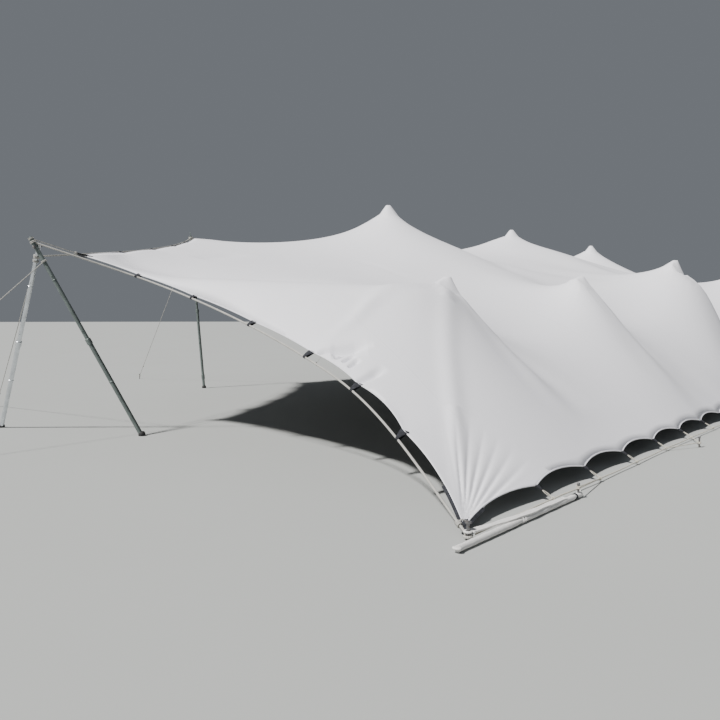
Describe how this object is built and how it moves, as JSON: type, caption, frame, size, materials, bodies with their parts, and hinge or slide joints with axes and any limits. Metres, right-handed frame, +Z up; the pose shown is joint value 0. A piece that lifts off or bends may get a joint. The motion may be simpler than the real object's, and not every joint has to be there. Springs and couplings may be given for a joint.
{
  "type": "stretch tent",
  "caption": "Free-form stretch tent: elastic canopy over centre and side poles, pegged along one long side, raised on poles along the other, A-frame at each end.",
  "frame": {"origin": "on the ground under the middle of the whole tent, stakes included", "axes": "+X along the tent, +Y from the pegged edge to the raised edge, +Z up"},
  "size_m": [31.228, 14.234, 4.006],
  "materials": {
    "canopy_cloth": "bright white coated stretch knit, matte",
    "black_webbing": "black woven webbing",
    "white_webbing": "off-white woven webbing, worn",
    "edge_rope": "grey braided polyester rope",
    "ground_rope": "off-white braided polyester rope",
    "guy_rope": "light grey braided guy rope",
    "aluminium_tube": "mill aluminium tube, lightly scuffed",
    "galvanised_tube": "galvanised steel tube, dulled",
    "steel_pin": "dark steel pin"
  },
  "bodies": {
    "root": {"canopy_panel_1": "canopy_cloth", "canopy_panel_2": "canopy_cloth", "canopy_panel_3": "canopy_cloth", "canopy_panel_4": "canopy_cloth", "canopy_panel_5": "canopy_cloth", "canopy_panel_6": "canopy_cloth", "centre_pole_1_lower_tube": "aluminium_tube", "centre_pole_1_upper_tube": "aluminium_tube", "centre_pole_2_lower_tube": "aluminium_tube", "centre_pole_2_upper_tube": "aluminium_tube", "centre_pole_3_lower_tube": "aluminium_tube", "centre_pole_3_upper_tube": "aluminium_tube", "ground_rope": "ground_rope", "left_a_frame_bolt": "steel_pin", "left_a_frame_far_guy": "guy_rope", "left_a_frame_far_leg": "aluminium_tube", "left_a_frame_near_leg": "galvanised_tube", "left_a_frame_outer_guy": "guy_rope", "left_corner_sling": "white_webbing", "left_corner_stake": "steel_pin", "left_end_rope": "edge_rope", "left_ground_corner": "black_webbing", "left_high_corner": "black_webbing", "raised_edge_guy_1": "guy_rope", "raised_edge_guy_2": "guy_rope", "raised_edge_guy_3": "guy_rope", "raised_edge_pole_1": "galvanised_tube", "raised_edge_pole_2": "galvanised_tube", "raised_edge_pole_3": "galvanised_tube", "raised_edge_rope": "edge_rope", "right_a_frame_bolt": "steel_pin", "right_a_frame_far_guy": "guy_rope", "right_a_frame_far_leg": "aluminium_tube", "right_a_frame_near_leg": "galvanised_tube", "right_a_frame_outer_guy": "guy_rope", "right_corner_sling": "white_webbing", "right_corner_stake": "steel_pin", "right_end_rope": "edge_rope", "right_ground_corner": "black_webbing", "right_high_corner": "black_webbing", "side_pole_1": "aluminium_tube", "side_pole_2": "aluminium_tube", "side_pole_3": "aluminium_tube", "side_pole_4": "aluminium_tube", "side_pole_5": "aluminium_tube", "side_pole_6": "aluminium_tube"}
  },
  "joints": []
}
